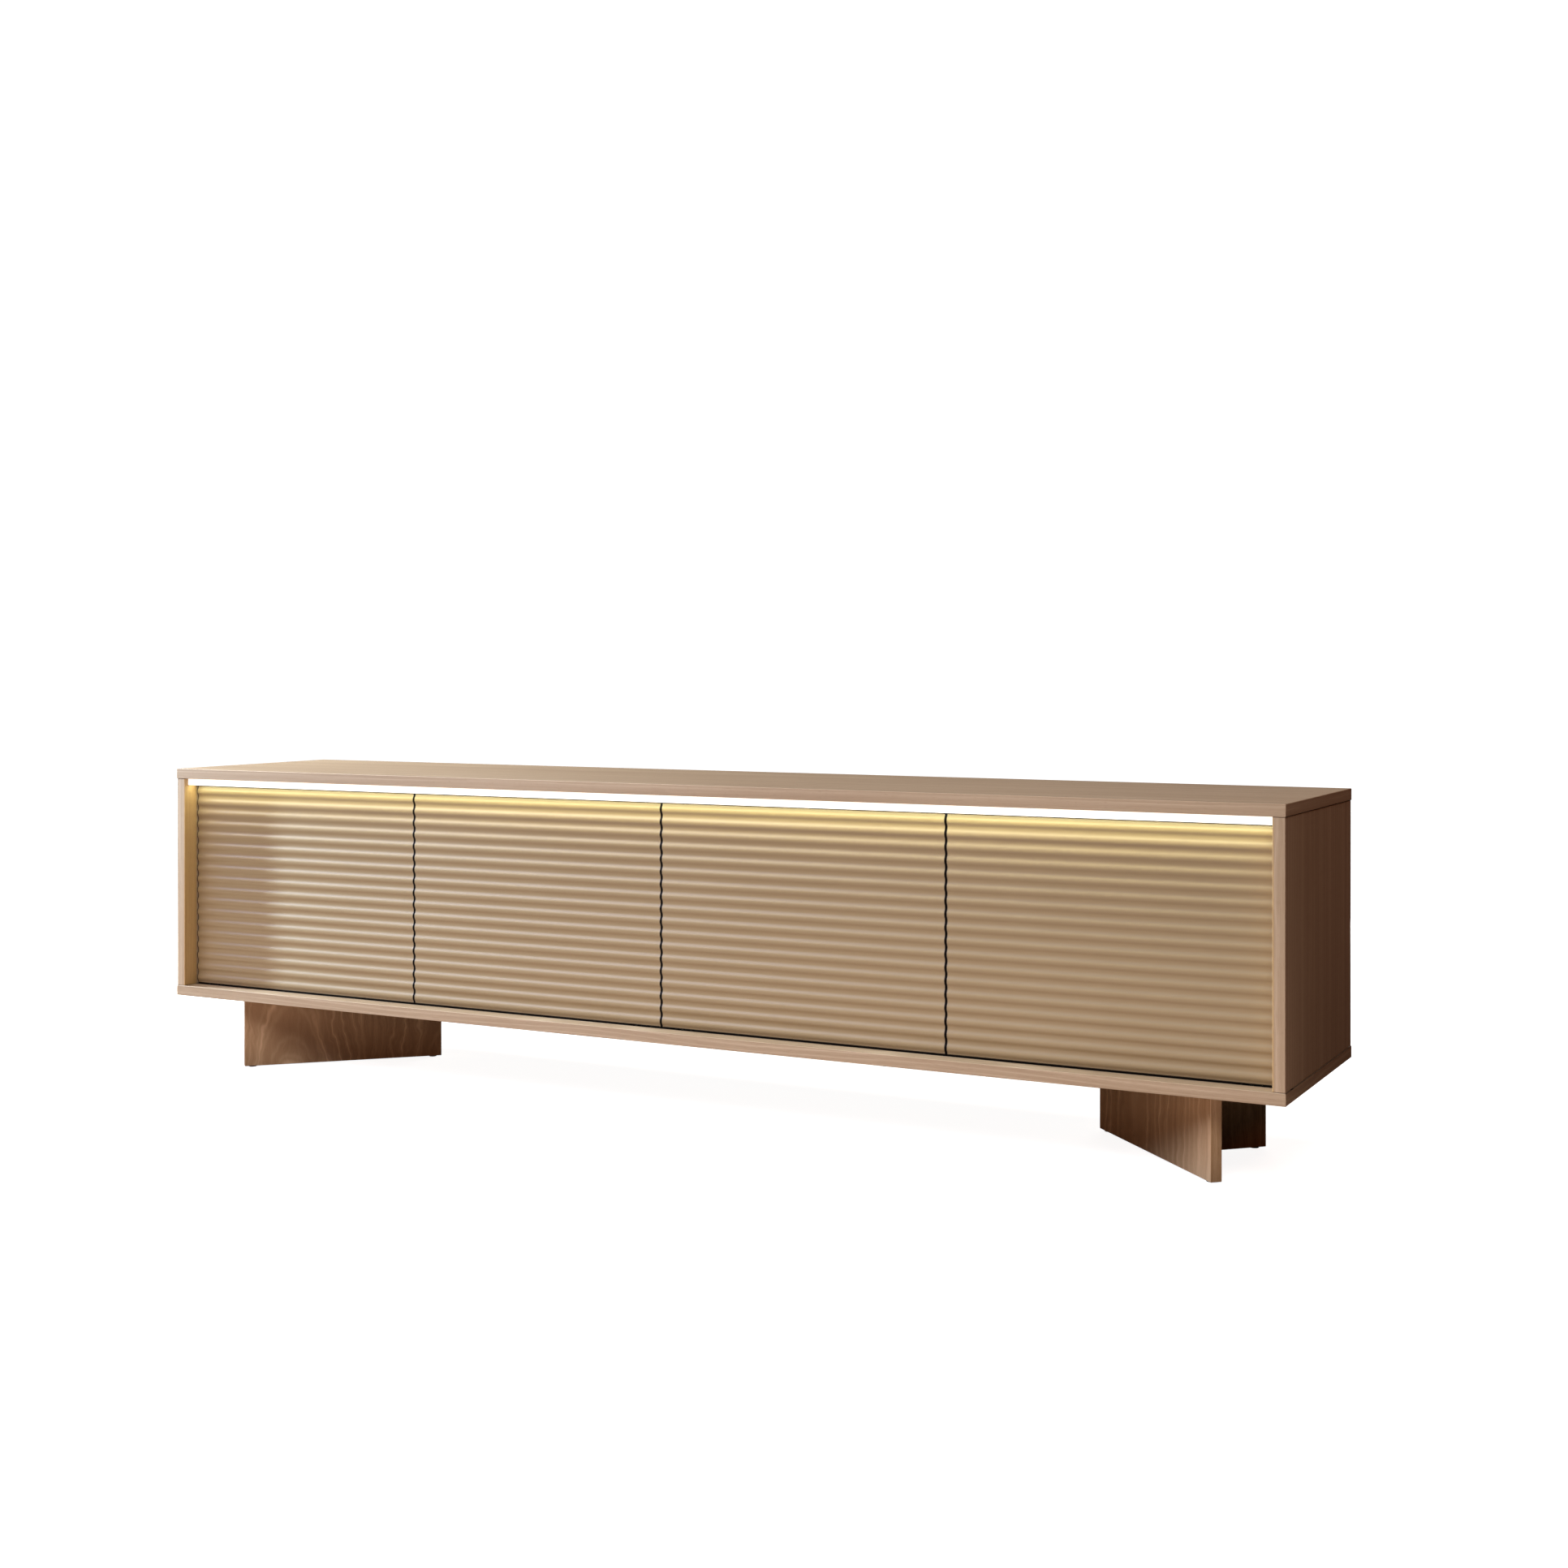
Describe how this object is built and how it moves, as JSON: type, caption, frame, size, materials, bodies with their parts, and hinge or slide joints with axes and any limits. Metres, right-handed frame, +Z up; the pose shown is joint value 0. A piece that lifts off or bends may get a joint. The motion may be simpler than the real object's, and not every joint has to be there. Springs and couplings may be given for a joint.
{
  "type": "media cabinet",
  "caption": "Long low media cabinet on angled board legs, with rippled pivot doors set back under a light bar, shelves behind them and cable outlets in the back.",
  "frame": {"origin": "on the floor, under the middle of the cabinet's width and depth", "axes": "+X to the right seen from the front, +Y from the doors towards the back, +Z up"},
  "size_m": [2.03, 0.4, 0.543],
  "materials": {
    "veneer": "matt greyed walnut veneer with open grain",
    "back_sheet": "smooth brown fibreboard",
    "door_lacquer": "satin sand-coloured lacquer on fibreboard",
    "beech": "plain beech",
    "zinc": "dull zinc",
    "steel": "bright zinc plated",
    "plate_steel": "nickel plated",
    "black_screw": "black phosphate",
    "bush_nylon": "natural nylon",
    "latch_plastic": "grey moulded plastic",
    "plunger_plastic": "dark grey moulded plastic",
    "aluminium": "satin anodised",
    "opal": "opal diffuser, lit from inside",
    "led_tape": "white circuit tape",
    "lead_jacket": "black flexible sleeve",
    "black_plastic": "black moulded plastic",
    "felt": "dark brown pressed pad"
  },
  "bodies": {
    "carcass": {"top_panel": "veneer", "bottom_panel": "veneer", "side_panel_left": "veneer", "side_panel_right": "veneer", "partition_left": "veneer", "partition_centre": "veneer", "partition_right": "veneer", "shelf_outer_left": "veneer", "shelf_inner_left": "veneer", "shelf_inner_right": "veneer", "shelf_outer_right": "veneer", "leg_left_long_board": "veneer", "leg_left_arm": "veneer", "leg_right_long_board": "veneer", "leg_right_arm": "veneer", "back_panel_left": "back_sheet", "back_panel_right": "back_sheet", "carcass_dowels": "beech", "leg_dowels": "beech", "cam_locks": "zinc", "cam_bolts": "zinc", "shelf_pins": "steel", "leg_screws": "steel", "pivot_screws": "steel", "latch_screws": "steel", "led_screws": "steel", "lower_pivot_pins": "steel", "upper_pivot_pins": "steel", "latch_springs": "steel", "inlet_nut": "steel", "lower_pivot_plates": "plate_steel", "upper_pivot_plates": "plate_steel", "back_screws": "black_screw", "latch_housings": "latch_plastic", "led_channel": "aluminium", "led_cover": "opal", "led_end_caps": "opal", "led_strip": "led_tape", "led_lead": "lead_jacket", "lead_clips": "lead_jacket", "power_inlet": "black_plastic", "cable_grommets": "black_plastic", "leg_glides": "felt"},
    "door_outer_left": {"door_outer_left": "door_lacquer", "door_outer_left_bushes": "bush_nylon", "door_outer_left_strike": "steel"},
    "latch_plunger_outer_left": {"latch_plunger_outer_left": "plunger_plastic"},
    "door_inner_left": {"door_inner_left": "door_lacquer", "door_inner_left_bushes": "bush_nylon", "door_inner_left_strike": "steel"},
    "latch_plunger_inner_left": {"latch_plunger_inner_left": "plunger_plastic"},
    "door_inner_right": {"door_inner_right": "door_lacquer", "door_inner_right_bushes": "bush_nylon", "door_inner_right_strike": "steel"},
    "latch_plunger_inner_right": {"latch_plunger_inner_right": "plunger_plastic"},
    "door_outer_right": {"door_outer_right": "door_lacquer", "door_outer_right_bushes": "bush_nylon", "door_outer_right_strike": "steel"},
    "latch_plunger_outer_right": {"latch_plunger_outer_right": "plunger_plastic"}
  },
  "joints": [
    {"name": "door_outer_left_pivot", "type": "hinge", "parent": "carcass", "child": "door_outer_left", "pos_m": [-0.9575, -0.1615, 0.3315], "axis": [0, 0, -1], "range_deg": [0, 90]},
    {"name": "latch_plunger_outer_left_slide", "type": "slide", "parent": "carcass", "child": "latch_plunger_outer_left", "axis": [0, 1, 0], "range_m": [0, 0.0025], "stiffness_N_per_m": 300, "springref_m": -0.004},
    {"name": "door_inner_left_pivot", "type": "hinge", "parent": "carcass", "child": "door_inner_left", "pos_m": [-0.03725, -0.1615, 0.3315], "axis": [0, 0, 1], "range_deg": [0, 90]},
    {"name": "latch_plunger_inner_left_slide", "type": "slide", "parent": "carcass", "child": "latch_plunger_inner_left", "axis": [0, 1, 0], "range_m": [0, 0.0025], "stiffness_N_per_m": 300, "springref_m": -0.004},
    {"name": "door_inner_right_pivot", "type": "hinge", "parent": "carcass", "child": "door_inner_right", "pos_m": [0.03725, -0.1615, 0.3315], "axis": [0, 0, -1], "range_deg": [0, 90]},
    {"name": "latch_plunger_inner_right_slide", "type": "slide", "parent": "carcass", "child": "latch_plunger_inner_right", "axis": [0, 1, 0], "range_m": [0, 0.0025], "stiffness_N_per_m": 300, "springref_m": -0.004},
    {"name": "door_outer_right_pivot", "type": "hinge", "parent": "carcass", "child": "door_outer_right", "pos_m": [0.9575, -0.1615, 0.3315], "axis": [0, 0, 1], "range_deg": [0, 90]},
    {"name": "latch_plunger_outer_right_slide", "type": "slide", "parent": "carcass", "child": "latch_plunger_outer_right", "axis": [0, 1, 0], "range_m": [0, 0.0025], "stiffness_N_per_m": 300, "springref_m": -0.004}
  ]
}
